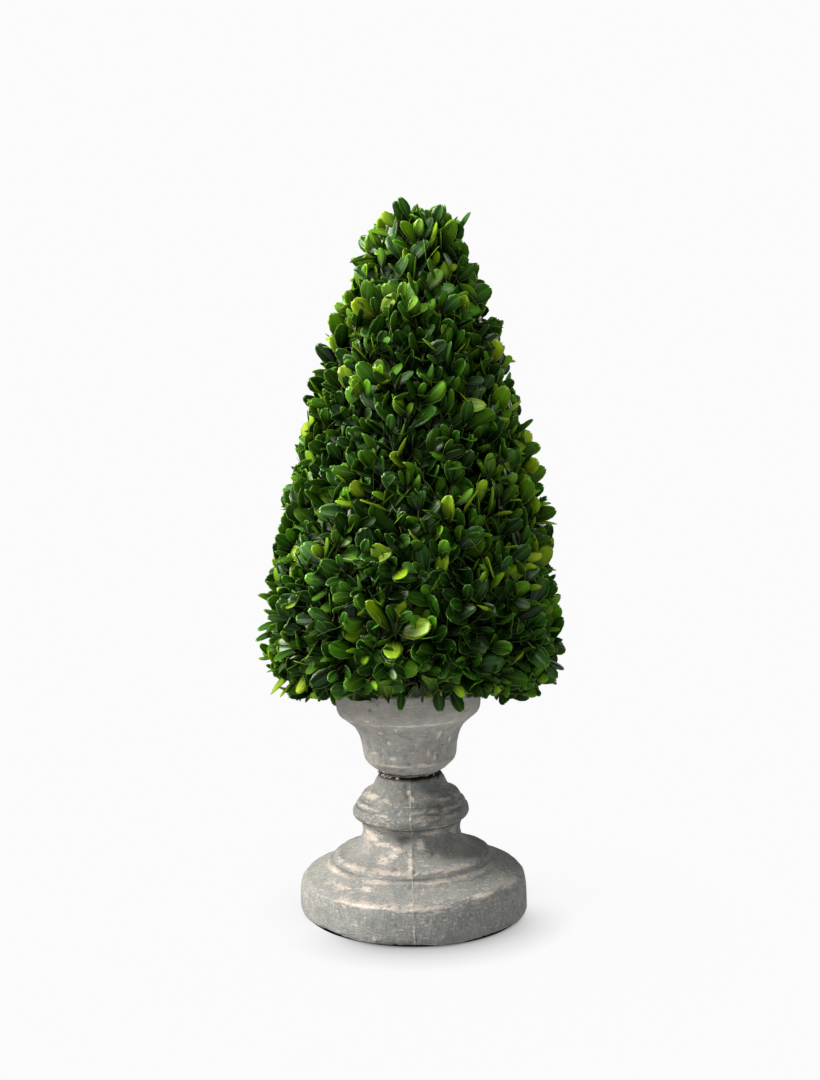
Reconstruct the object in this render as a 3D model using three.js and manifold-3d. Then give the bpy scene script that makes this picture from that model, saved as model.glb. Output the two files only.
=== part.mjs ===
// A clipped boxwood cone in a two-piece cast urn. Millimetres, +Z up, the front faces -Y.
// The origin is the middle of the urn's flat underside, where it stands on the floor.
import * as THREE from "three";
import { mergeVertices } from "three/addons/utils/BufferGeometryUtils.js";
import Module from "manifold-3d";

const wasm = await Module();
wasm.setup();

const gap = 0.3; // running clearance left between neighbouring pieces

// The urn: a pedestal and a bowl cast apart, with a mortar bed between them.
const urn = {
  footRadius: 95.4,
  shoulderHeight: 25,
  neckRadius: 27.2,
  pedestalHeight: 113.4,
  mortarRadius: 24.2,
  mortarHeight: 1.4,
  rimRadius: 61.8,
  rimHeight: 187.5,
  rimInnerRadius: 52.5,
  floorHeight: 133, // the bowl's inner floor
  lean: 0.027, // the hand-set casting leans towards -X, as a rise over run
  sides: 36,
  stepsPerCurve: 3,
};

const soilHeight = 179;

// The stem's foot is hidden in the crown, which hides where it forks too.
const stem = {
  foot: soilHeight + gap,
  top: 298,
  flareRadius: 14,
  flareHeight: 20,
  radius: 8.4,
  topRadius: 5.6,
  bend: 2.2,
  sides: 12,
  rings: 5,
};

// The crown's clipped outline: a rounded skirt, then a bulging cone up to a blunt tip.
const crown = {
  underside: 178,
  undersideRadius: 97,
  widestHeight: 235,
  widestRadius: 127,
  top: 607,
  bulge: 1.2, // higher values keep the cone wide for longer
  blunt: 0.55, // lower values make a blunter tip
  centre: -1.5,
  tipDrift: 4.5, // the tip stands a little towards +X
};

// The dense inside of the crown, which the twigs and leaves stand out of.
const core = {
  depth: 24, // below the clipped outline
  bottom: 189.6,
  top: 568,
  tipRadius: 3.5,
  lump: 3.5,
  sides: 18,
  rings: 11,
};

// Twigs stand out of the core in a golden-angle spiral, each with pairs of leaves set crosswise.
const twig = {
  count: 114,
  reach: 12,
  leaderReach: 21, // the twig that makes the tip
  sunk: 6,
  rootRadius: 2.4,
  tipRadius: 1.7,
  lift: 0.2, // how far a twig turns up from the core's own slope
  splay: 1.1, // how far it turns outwards under the skirt
  stray: 0.13,
};

const leaf = {
  length: 33,
  width: 22,
  arch: 1,
  thickness: 1.7,
  sunk: 0.3,
  pairs: [
    { along: 0.4, spread: 1.1, size: 1 },
    { along: 0.85, spread: 1.0, size: 0.86 },
  ],
  endSize: 0.52, // the one leaf that ends the twig
  endSpread: 0.4,
};

const goldenAngle = Math.PI * (3 - Math.sqrt(5));
const up = new THREE.Vector3(0, 0, 1);

// A number from 0 to 1 that depends only on n, so the plant grows the same way each time.
function chance(n) {
  const turned = Math.sin(n * 12.9898) * 43758.5453;
  return turned - Math.floor(turned);
}

// ---------- from three.js geometry to a closed solid and back ----------

function solidOf(geometry) {
  const loose = geometry.index ? geometry.toNonIndexed() : geometry;
  const bare = new THREE.BufferGeometry().setAttribute("position", loose.getAttribute("position"));
  const merged = mergeVertices(bare, 1e-4);
  return new wasm.Manifold(
    new wasm.Mesh({
      numProp: 3,
      vertProperties: merged.getAttribute("position").array,
      triVerts: merged.index.array,
    }),
  );
}

function geometryOf(solid) {
  const mesh = solid.getMesh();
  return new THREE.BufferGeometry()
    .setAttribute("position", new THREE.BufferAttribute(mesh.vertProperties, 3))
    .setIndex(new THREE.BufferAttribute(mesh.triVerts, 1));
}

// Joins solids two by two, so that no join is much larger than it needs to be.
function joinAll(solids) {
  if (solids.length === 1) return solids[0];
  const middle = solids.length >> 1;
  return joinAll(solids.slice(0, middle)).add(joinAll(solids.slice(middle)));
}

// The largest closed surface of a solid: scraps are dropped and sealed hollows are filled.
function outermost(solid) {
  return solid.decompose().reduce((a, b) => (a.volume() > b.volume() ? a : b));
}

// A solid of revolution about Z from an outline drawn as (radius, height).
function turned(outline, sides, steps = urn.stepsPerCurve) {
  return new THREE.LatheGeometry(outline.getPoints(steps), sides).rotateX(Math.PI / 2);
}

function moveVertices(geometry, place) {
  const position = geometry.getAttribute("position");
  const point = new THREE.Vector3();
  for (let i = 0; i < position.count; i++) {
    place(point.fromBufferAttribute(position, i));
    position.setXYZ(i, point.x, point.y, point.z);
  }
  return geometry;
}

// ---------- the urn ----------

// Leans the casting towards -X while its underside stays flat on the floor.
function leaned(geometry) {
  return moveVertices(geometry, (p) => {
    const share = THREE.MathUtils.clamp(p.z / urn.shoulderHeight, 0, 1);
    const x = p.x;
    p.x -= p.z * urn.lean;
    p.z += x * urn.lean * share;
  });
}

function pedestalGeometry() {
  const outline = new THREE.Path();
  outline.moveTo(0, 0);
  outline.lineTo(urn.footRadius - 1.8, 0);
  outline.lineTo(urn.footRadius, 1.6);
  outline.quadraticCurveTo(urn.footRadius + 0.4, 14, urn.footRadius - 0.3, 22.7);
  outline.quadraticCurveTo(94.0, 32.2, 88.0, 33.2); // shoulder of the foot
  outline.lineTo(72.4, 40.6); // outer step
  outline.quadraticCurveTo(68.6, 41.2, 67.0, 43.8);
  outline.quadraticCurveTo(65.6, 47.4, 61.9, 48.2); // inner step
  outline.quadraticCurveTo(45.6, 51.2, 42.4, 59.8);
  outline.quadraticCurveTo(40.0, 67.3, 42.2, 71.6); // the waist under the torus
  outline.lineTo(43.2, 75.5);
  outline.quadraticCurveTo(49.6, 78.3, 49.3, 84.6); // the torus
  outline.quadraticCurveTo(48.6, 88.9, 45.6, 90.6);
  outline.quadraticCurveTo(42.8, 94.2, 38.1, 98.5); // the bead over it
  outline.lineTo(32.1, 102.2);
  outline.quadraticCurveTo(30.4, 106.3, 28.3, 110.2);
  outline.lineTo(urn.neckRadius, urn.pedestalHeight);
  outline.lineTo(0, urn.pedestalHeight);
  return leaned(turned(outline, urn.sides));
}

function mortarGeometry() {
  const low = urn.pedestalHeight + gap;
  const high = low + urn.mortarHeight;
  const outline = new THREE.Path();
  outline.moveTo(0, low);
  outline.lineTo(urn.mortarRadius - 0.6, low);
  outline.lineTo(urn.mortarRadius, (low + high) / 2);
  outline.lineTo(urn.mortarRadius - 0.6, high);
  outline.lineTo(0, high);
  return leaned(turned(outline, urn.sides));
}

// The inside of the bowl from the rim down to the axis, drawn in by an inset for what fills it.
function bowlInside(outline, inset, top) {
  outline.lineTo(urn.rimInnerRadius - inset, top);
  outline.lineTo(urn.rimInnerRadius - inset, 170 + inset);
  outline.quadraticCurveTo(48.5 - inset, 163 + inset, 38.5 - inset, 158 + inset);
  outline.quadraticCurveTo(33 - inset, 153, 31.5 - inset, 142);
  outline.lineTo(28 - inset, urn.floorHeight + inset);
  outline.lineTo(0, urn.floorHeight + inset);
}

function bowlGeometry() {
  const bottom = urn.pedestalHeight + urn.mortarHeight + 2 * gap;
  const outline = new THREE.Path();
  outline.moveTo(0, bottom);
  outline.lineTo(urn.neckRadius - 0.6, bottom);
  outline.lineTo(28.2, 117.4);
  outline.lineTo(37.6, 124.8);
  outline.quadraticCurveTo(39.4, 127.2, 40.0, 133.9);
  outline.quadraticCurveTo(41.4, 147.1, 45.5, 152.9);
  outline.quadraticCurveTo(48.6, 157.6, 56.7, 162.9); // flares out under the rim band
  outline.quadraticCurveTo(urn.rimRadius - 0.3, 164.9, urn.rimRadius - 0.1, 171.9);
  outline.lineTo(urn.rimRadius, urn.rimHeight - 2);
  outline.lineTo(urn.rimRadius - 2, urn.rimHeight);
  bowlInside(outline, 0, urn.rimHeight);
  return leaned(turned(outline, urn.sides));
}

// The soil fills the bowl to just under its rim, and its top is level.
function soilGeometry() {
  const inside = new THREE.Path();
  inside.moveTo(0, soilHeight);
  bowlInside(inside, gap, soilHeight);
  const geometry = new THREE.LatheGeometry(inside.getPoints(urn.stepsPerCurve).reverse(), urn.sides);
  return moveVertices(leaned(geometry.rotateX(Math.PI / 2)), (p) => {
    if (p.z > soilHeight - 3) p.z = soilHeight;
  });
}

// ---------- the stem ----------

// The stem's centre line starts over the leaning bowl and bends towards the crown's axis.
function stemCentre(z) {
  const rise = (z - stem.foot) / (stem.top - stem.foot);
  return {
    x: THREE.MathUtils.lerp(-urn.lean * soilHeight, crown.centre, rise) + stem.bend * Math.sin(3 * rise),
    y: stem.bend * Math.sin(4.4 * rise),
  };
}

function stemGeometry(grown = 0) {
  const flareTop = stem.foot + stem.flareHeight;
  const outline = new THREE.Path();
  outline.moveTo(0, stem.foot - grown);
  outline.lineTo(stem.flareRadius + grown, stem.foot - grown);
  outline.quadraticCurveTo(stem.radius + 1 + grown, stem.foot + 5, stem.radius + grown, flareTop);
  for (let ring = 1; ring <= stem.rings; ring++) {
    const share = ring / stem.rings;
    const radius = THREE.MathUtils.lerp(stem.radius, stem.topRadius, share) + grown;
    outline.lineTo(radius, THREE.MathUtils.lerp(flareTop, stem.top, share) + grown);
  }
  outline.lineTo(0, stem.top + grown);
  return moveVertices(turned(outline, stem.sides), (p) => {
    const centre = stemCentre(p.z);
    p.x += centre.x;
    p.y += centre.y;
  });
}

// ---------- the crown ----------

// The clipped outline's radius at a height, out to the leaf tips.
function crownRadius(z) {
  if (z < crown.widestHeight) {
    const drop = Math.min((crown.widestHeight - z) / (crown.widestHeight - crown.underside), 1);
    const rounding = crown.widestRadius - crown.undersideRadius;
    return crown.undersideRadius + rounding * Math.sqrt(1 - drop * drop);
  }
  const rise = Math.min((z - crown.widestHeight) / (crown.top - crown.widestHeight), 1);
  return crown.widestRadius * Math.pow(1 - Math.pow(rise, crown.bulge), crown.blunt);
}

function crownAxis(z) {
  const rise = Math.max((z - crown.widestHeight) / (crown.top - crown.widestHeight), 0);
  return crown.centre + crown.tipDrift * rise * rise * rise;
}

// The core lies evenly deep, measured square to the outline.
function coreRadius(z) {
  const slope = z < crown.widestHeight ? 0 : crownRadius(z) - crownRadius(z + 1);
  return Math.max(crownRadius(z) - core.depth * Math.hypot(1, slope), core.tipRadius);
}

// The core: lumpy like a clipped shrub's inside, and hollowed to stand clear of the stem.
function coreSolid() {
  const outline = new THREE.Path();
  outline.moveTo(0, core.bottom);
  for (let ring = 0; ring <= core.rings; ring++) {
    const z = THREE.MathUtils.lerp(core.bottom, core.top, ring / core.rings);
    outline.lineTo(coreRadius(z), z);
  }
  outline.lineTo(0, core.top + core.tipRadius);
  const lumpy = moveVertices(turned(outline, core.sides), (p) => {
    const angle = Math.atan2(p.y, p.x);
    const lump = core.lump * (2 * chance(Math.round(10 * angle) + 0.37 * Math.round(p.z)) - 1);
    const radius = Math.hypot(p.x, p.y);
    const scale = radius > 2 * core.lump ? 1 + lump / radius : 1;
    p.x = p.x * scale + crownAxis(p.z);
    p.y *= scale;
  });
  return solidOf(lumpy).subtract(solidOf(stemGeometry(gap)));
}

// The core's skin from the rim out to the skirt and up to the tip, with the area below each place.
function coreSkin() {
  const places = [];
  let area = 0;
  const add = (radius, z) => {
    const last = places.at(-1);
    if (last) area += Math.PI * (radius + last.radius) * Math.hypot(radius - last.radius, z - last.z);
    places.push({ radius, z, area });
  };
  for (let radius = urn.rimRadius + 6; radius < coreRadius(core.bottom); radius += 2) add(radius, core.bottom);
  for (let z = core.bottom; z < core.top; z += 2) add(coreRadius(z), z);
  return places;
}

// Where each twig leaves the core and where it points: evenly by area, turning by the golden angle.
function twigPlaces() {
  const skin = coreSkin();
  const places = Array.from({ length: twig.count }, (_, index) => {
    const area = (skin.at(-1).area * (index + 0.5)) / twig.count;
    const next = skin.findIndex((place) => place.area >= area);
    const [a, b] = [skin[next - 1], skin[next]];
    const share = (area - a.area) / (b.area - a.area);
    const z = THREE.MathUtils.lerp(a.z, b.z, share);
    const around = new THREE.Vector3(Math.cos(index * goldenAngle), Math.sin(index * goldenAngle), 0);
    const outwards = new THREE.Vector2(b.z - a.z, a.radius - b.radius).normalize();
    const direction = around.clone().multiplyScalar(outwards.x).addScaledVector(up, outwards.y);
    if (z > core.bottom) direction.addScaledVector(up, twig.lift);
    else direction.addScaledVector(around, twig.splay);
    const stray = new THREE.Vector3(chance(index + 0.1), chance(index + 0.3), chance(index + 0.7));
    direction.normalize().addScaledVector(stray.subScalar(0.5), 2 * twig.stray).normalize();
    const root = around.multiplyScalar(THREE.MathUtils.lerp(a.radius, b.radius, share)).setZ(z);
    root.x += crownAxis(z);
    return { index, root, direction, reach: twig.reach };
  });
  const tip = new THREE.Vector3(crownAxis(core.top), 0, core.top);
  return [...places, { index: twig.count, root: tip, direction: up.clone(), reach: twig.leaderReach }];
}

// Whether a point lies inside the clipped outline.
function fits(point) {
  const radius = Math.hypot(point.x - crownAxis(point.z), point.y);
  return point.z > crown.underside - 8 && point.z < crown.top + 3 && radius < crownRadius(point.z) + 4;
}

// The space over the bowl that no leaf may enter.
function bowlSpace() {
  const radius = urn.rimRadius + 1;
  const space = new THREE.CylinderGeometry(radius, radius, urn.rimHeight + 1, urn.sides);
  return solidOf(leaned(space.rotateX(Math.PI / 2).translate(0, 0, (urn.rimHeight + 1) / 2)));
}

function boxesMeet(a, b) {
  return [0, 1, 2].every((axis) => a.min[axis] < b.max[axis] && b.min[axis] < a.max[axis]);
}

// Whether a solid touches any of a list of solids.
function touches(solid, others) {
  const box = solid.boundingBox();
  return others.some((other) => boxesMeet(box, other.boundingBox()) && !solid.intersect(other).isEmpty());
}

// A leaf's corners: X runs to the blunt tip, and its upper side is arched up along the midrib.
function leafPoints(size) {
  const [long, half] = [leaf.length * size, (leaf.width * size) / 2];
  return [
    new THREE.Vector3(-leaf.sunk, 0, 0),
    new THREE.Vector3(long * 0.54, half, -leaf.arch),
    new THREE.Vector3(long * 0.97, half * 0.45, -leaf.arch),
    new THREE.Vector3(long * 0.97, -half * 0.45, -leaf.arch),
    new THREE.Vector3(long * 0.54, -half, -leaf.arch),
    new THREE.Vector3(long * 0.5, 0, leaf.thickness - leaf.arch),
  ];
}

const leafTop = [0, 1, 2, 3, 4].flatMap((corner) => [(corner + 1) % 5, corner, 5]);
const leafFaces = [...leafTop, 0, 1, 4, 1, 2, 4, 2, 3, 4];

// A leaf growing from a place along a direction, with its upper side turned towards the twig's tip.
function leafSolid(place, along, facing, size) {
  const side = new THREE.Vector3().crossVectors(facing, along).normalize();
  const above = new THREE.Vector3().crossVectors(along, side);
  const frame = new THREE.Matrix4().makeBasis(along, side, above).setPosition(place);
  const points = leafPoints(size).map((point) => point.applyMatrix4(frame));
  if (!points.every(fits)) return null;
  return solidOf(new THREE.BufferGeometry().setFromPoints(points).setIndex(leafFaces));
}

// A three-sided twig with its root sunk in the core, and the leaves along it. The twig at the tip
// stands straight up with smaller, steeper leaves.
function twigSolids({ index, root, direction, reach }) {
  const foot = root.clone().addScaledVector(direction, -twig.sunk);
  const length = twig.sunk + reach;
  const stick = new THREE.CylinderGeometry(twig.tipRadius, twig.rootRadius, length, 3);
  stick.translate(0, length / 2, 0);
  stick.applyQuaternion(new THREE.Quaternion().setFromUnitVectors(new THREE.Vector3(0, 1, 0), direction));
  stick.translate(foot.x, foot.y, foot.z);

  const level = new THREE.Vector3(-root.y, root.x, 0).cross(direction).cross(direction).normalize();
  const steep = new THREE.Vector3().crossVectors(direction, level);
  const sideways = (turn) =>
    level.clone().multiplyScalar(Math.cos(turn)).addScaledVector(steep, Math.sin(turn));
  const grow = (along, turn, spread, size) => {
    const opening = reach > twig.reach ? 0.8 * spread : spread;
    const heading = direction.clone().multiplyScalar(Math.cos(opening));
    heading.addScaledVector(sideways(turn), Math.sin(opening));
    return leafSolid(root.clone().addScaledVector(direction, along), heading, direction, size);
  };
  const firstTurn = chance(index + 0.9) * Math.PI;
  const leaves = leaf.pairs.flatMap(({ along, spread, size }, order) =>
    [0, Math.PI].map((half) => grow(reach * along, firstTurn + half + (order * Math.PI) / 2, spread, size)),
  );
  leaves.push(grow(reach - leaf.sunk, firstTurn + 0.7, leaf.endSpread, leaf.endSize));
  return [solidOf(stick), ...leaves.filter(Boolean)];
}

// All twigs with their leaves. What would touch the bowl or an earlier twig's leaves is skipped.
function grownTwigs() {
  const kept = [bowlSpace()];
  for (const place of twigPlaces()) kept.push(...twigSolids(place).filter((solid) => !touches(solid, kept)));
  return kept.slice(1);
}

// The mass of leaves: the core with all its twigs and leaves fused on.
function foliageGeometry() {
  return geometryOf(outermost(joinAll([coreSolid(), ...grownTwigs()])));
}

// ---------- the whole plant ----------

const stone = new THREE.MeshStandardMaterial({ color: 0x9b9b95, roughness: 0.85, metalness: 0 });
const mortar = new THREE.MeshStandardMaterial({ color: 0xb9b0a2, roughness: 0.95, metalness: 0 });
const earth = new THREE.MeshStandardMaterial({ color: 0x3b2c20, roughness: 1, metalness: 0 });
const bark = new THREE.MeshStandardMaterial({ color: 0x8a7a61, roughness: 0.85, metalness: 0 });
const green = new THREE.MeshStandardMaterial({ color: 0x3f6b1f, roughness: 0.45, metalness: 0 });

const topiary = new THREE.Group();

function addPiece(name, geometry, material) {
  const mesh = new THREE.Mesh(geometry, material);
  mesh.name = name;
  topiary.add(mesh);
}

addPiece("pedestal", pedestalGeometry(), stone);
addPiece("mortar_bed", mortarGeometry(), mortar);
addPiece("bowl", bowlGeometry(), stone);
addPiece("soil", soilGeometry(), earth);
addPiece("stem", stemGeometry(), bark);
addPiece("foliage", foliageGeometry(), green);

export default topiary;
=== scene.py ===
import math
from functools import partial

import bpy
import numpy as np
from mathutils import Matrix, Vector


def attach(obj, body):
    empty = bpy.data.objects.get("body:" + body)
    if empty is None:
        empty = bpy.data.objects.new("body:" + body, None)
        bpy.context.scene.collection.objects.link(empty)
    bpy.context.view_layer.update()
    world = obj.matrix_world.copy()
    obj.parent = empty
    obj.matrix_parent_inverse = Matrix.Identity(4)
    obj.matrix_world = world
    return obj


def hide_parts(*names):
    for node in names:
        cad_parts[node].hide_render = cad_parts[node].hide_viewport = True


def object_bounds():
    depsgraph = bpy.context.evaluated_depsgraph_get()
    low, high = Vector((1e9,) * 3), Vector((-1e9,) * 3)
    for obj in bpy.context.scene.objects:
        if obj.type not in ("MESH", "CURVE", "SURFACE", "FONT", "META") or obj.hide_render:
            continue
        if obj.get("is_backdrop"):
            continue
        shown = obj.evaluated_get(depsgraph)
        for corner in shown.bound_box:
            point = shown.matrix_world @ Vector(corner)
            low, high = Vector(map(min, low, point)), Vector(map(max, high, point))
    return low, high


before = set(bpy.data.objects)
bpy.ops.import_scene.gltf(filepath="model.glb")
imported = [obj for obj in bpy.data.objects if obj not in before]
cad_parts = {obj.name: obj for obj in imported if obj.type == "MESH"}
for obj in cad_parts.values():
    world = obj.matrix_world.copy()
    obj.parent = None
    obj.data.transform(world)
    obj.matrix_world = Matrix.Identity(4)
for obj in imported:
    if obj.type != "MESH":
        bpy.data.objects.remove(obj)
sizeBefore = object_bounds()
print("frame loaded")

goldenAngle = math.pi * (3 - math.sqrt(5))
up = np.array([0.0, 0.0, 1.0])


# Numbers from 0 to 1 that depend only on n: the fraction of sin(12.9898 n) times 43758.5453.
def chance(n):
    turned = np.sin(np.asarray(n, dtype=float) * 12.9898) * 43758.5453
    return turned - np.floor(turned)


# Each vector divided by its own length.
def unit(vectors):
    return vectors / np.maximum(np.linalg.norm(vectors, axis=-1, keepdims=True), 1e-9)


# The part of vectors that is square to a direction, at length 1: vector - along (vector . along).
def squareTo(along, vectors):
    return unit(vectors - along * (vectors * along).sum(axis=-1, keepdims=True))


# Angles that stand evenly round a circle: 2 pi n / count.
def evenly(count):
    return np.arange(count) * 2 * math.pi / count


# Level directions at angles: (cos a, sin a, 0).
def compass(angle):
    return np.stack([np.cos(angle), np.sin(angle), 0 * angle], axis=-1)


# A quadratic curve: begin (1 - t)^2 + 2 bend t (1 - t) + end t^2.
def curve(begin, bend, end, share):
    return begin * (1 - share) ** 2 + bend * 2 * share * (1 - share) + end * share**2


# The share of the way from a to b: a + (b - a) share.
def mix(a, b, share):
    return a + (b - a) * share


# Goes smoothly from 0 to 1 as x goes from low to high: 3t^2 - 2t^3.
def smooth(low, high, x):
    share = np.clip((x - low) / (high - low), 0, 1)
    return share * share * (3 - 2 * share)


# Soft noise of about -1 to 1: a sum of plane waves with seeded directions, about `size` mm long.
def noise(points, size, seed, waves=18):
    maker = np.random.default_rng(seed)
    heading = unit(maker.normal(size=(waves, 3)))
    pitch = 2 * math.pi / (size * maker.uniform(0.65, 1.5, waves))
    phase = maker.uniform(0, 2 * math.pi, waves)
    total = np.zeros(points.shape[:-1])
    for axis, rate, start in zip(heading, pitch, phase):
        total += np.sin(points @ (axis * rate) + start)
    return total / math.sqrt(waves)


# Puts points in mm, divided by 1000, and groups of faces with equal numbers of corners into a
# mesh at the origin. Kinds are the faces' materials, and values one number for each point.
def addMesh(name, points, faces, materials, kinds=None, values=None):
    mesh = bpy.data.meshes.new(name)
    corners = np.concatenate([group.ravel() for group in faces]).astype(np.int32)
    counts = np.concatenate([np.full(len(group), group.shape[1]) for group in faces])
    starts = np.concatenate([[0], np.cumsum(counts)[:-1]]).astype(np.int32)
    mesh.vertices.add(len(points))
    mesh.vertices.foreach_set("co", (points * 0.001).astype(np.float32).ravel())
    mesh.loops.add(len(corners))
    mesh.loops.foreach_set("vertex_index", corners)
    mesh.polygons.add(len(counts))
    mesh.polygons.foreach_set("loop_start", starts)
    for material in materials:
        mesh.materials.append(material)
    if kinds is not None:
        mesh.polygons.foreach_set("material_index", kinds.astype(np.int32))
    mesh.polygons.foreach_set("use_smooth", np.ones(len(counts), dtype=bool))
    for title, numbers in (values or {}).items():
        attribute = mesh.attributes.new(title, "FLOAT", "POINT")
        attribute.data.foreach_set("value", numbers.astype(np.float32).ravel())
    mesh.update(calc_edges=True)
    mesh.validate()
    piece = bpy.data.objects.new(name, mesh)
    bpy.context.scene.collection.objects.link(piece)
    return piece


# Four-sided faces between the rows of a grid whose columns wrap round.
def wrappedQuads(index):
    after = np.roll(index, -1, axis=1)
    return np.stack([index[:-1], after[:-1], after[1:], index[1:]], axis=-1).reshape(-1, 4)


# An outline of (r, z) turned round Z: x = (r + push) cos a and y = (r + push) sin a.
def turned(path, angle, push=0):
    radius = path[:, :1] + push
    height = np.broadcast_to(path[:, 1:], (len(path), len(angle)))
    return np.stack([radius * np.cos(angle), radius * np.sin(angle), height], axis=-1)


# Faces of a grid whose columns wrap round, with both ends closed by a fan to a point of its own.
def closedFaces(rows, columns):
    index = np.arange(rows * columns).reshape(rows, columns)
    after = np.roll(index, -1, axis=1)
    first, last = rows * columns, rows * columns + 1
    foot = np.stack([np.full(columns, first), after[0], index[0]], axis=-1)
    head = np.stack([np.full(columns, last), index[-1], after[-1]], axis=-1)
    return [wrappedQuads(index), np.concatenate([foot, head])]


# A wrapped grid as a closed mesh: each end gets a point at the mean of its ring.
def addClosed(name, grid, materials, values=None):
    rows, columns = grid.shape[:2]
    points = np.concatenate([grid.reshape(-1, 3), [grid[0].mean(axis=0), grid[-1].mean(axis=0)]])
    ends = {
        title: np.concatenate([numbers.ravel(), [numbers[0].mean(), numbers[-1].mean()]])
        for title, numbers in (values or {}).items()
    }
    return addMesh(name, points, closedFaces(rows, columns), materials, values=ends)


# Outward normals of a wrapped grid: the way round crossed with the way up.
def gridNormals(grid):
    around = np.roll(grid, -1, axis=1) - np.roll(grid, 1, axis=1)
    return unit(np.cross(around, np.gradient(grid, axis=0)))


# Many round rods at once, closed at both ends: path + radius (side cos a + across sin a), where
# side and across are square to the path.
def rodMesh(paths, radii, sides):
    many, rings = radii.shape
    along = unit(np.gradient(paths, axis=1))
    hint = np.where(np.abs(along[:, :1, 2:]) > 0.9, [[[1.0, 0.0, 0.0]]], [[[0.0, 0.0, 1.0]]])
    side = squareTo(along, hint)
    across = np.cross(along, side)
    angle = evenly(sides)
    spoke = side[:, :, None] * np.cos(angle)[:, None] + across[:, :, None] * np.sin(angle)[:, None]
    points = paths[:, :, None] + spoke * radii[:, :, None, None]
    index = np.arange(many * rings * sides).reshape(many, rings, sides)
    after = np.roll(index, -1, axis=2)
    quads = np.stack([index[:, :-1], after[:, :-1], after[:, 1:], index[:, 1:]], axis=-1)
    return points.reshape(-1, 3), [quads.reshape(-1, 4), index[:, 0, ::-1], index[:, -1]]


# A screen colour as the linear colour the shaders work in: ((c + 0.055) / 1.055)^2.4, or c / 12.92
# for the darkest.
def linear(code):
    parts = np.array([int(code[place : place + 2], 16) for place in (1, 3, 5)]) / 255
    plain = np.where(parts > 0.04045, ((parts + 0.055) / 1.055) ** 2.4, parts / 12.92)
    return (*plain.tolist(), 1.0)


# Adds a node with its settings, and fills its inputs with values or with links.
def addNode(tree, kind, settings=None, inputs=None):
    node = tree.nodes.new(kind)
    for name, value in (settings or {}).items():
        setattr(node, name, value)
    for name, value in (inputs or {}).items():
        if isinstance(value, bpy.types.NodeSocket):
            tree.links.new(value, node.inputs[name])
        else:
            node.inputs[name].default_value = value
    return node


# A material that holds one shader and its output.
def newMaterial(name):
    material = bpy.data.materials.new(name)
    material.use_nodes = True
    tree = material.node_tree
    tree.nodes.clear()
    shader = addNode(tree, "ShaderNodeBsdfPrincipled")
    addNode(tree, "ShaderNodeOutputMaterial", {}, {"Surface": shader.outputs[0]})
    return material, tree, shader


steps = {"interpolation_type": "SMOOTHSTEP"}


# Noise whose spots are about a size in mm across.
def addNoise(tree, place, size, detail, rough):
    inputs = {"Vector": place, "Scale": 1000 / size, "Detail": detail, "Roughness": rough}
    return addNode(tree, "ShaderNodeTexNoise", {}, inputs).outputs[0]


# One of the numbers that a mesh carries for each of its points.
def addValue(tree, title):
    return addNode(tree, "ShaderNodeAttribute", {"attribute_name": title}).outputs["Fac"]


# One calculation with two or three numbers or links.
def addMath(tree, operation, *numbers):
    inputs = dict(enumerate(numbers))
    return addNode(tree, "ShaderNodeMath", {"operation": operation}, inputs).outputs[0]


# How far a pattern has gone from low to high, as 3t^2 - 2t^3 times an amount.
def addShare(tree, pattern, low, high, amount):
    inputs = {0: pattern, 1: low, 2: high, 3: 0.0, 4: amount}
    return addNode(tree, "ShaderNodeMapRange", steps, inputs).outputs[0]


# Lays a colour on those below: below + cover times (colour - below).
def addColour(tree, below, cover, colour):
    above = linear(colour) if isinstance(colour, str) else colour
    return addNode(tree, "ShaderNodeMix", {"data_type": "RGBA"}, {0: cover, 6: below, 7: above}).outputs[2]


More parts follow.
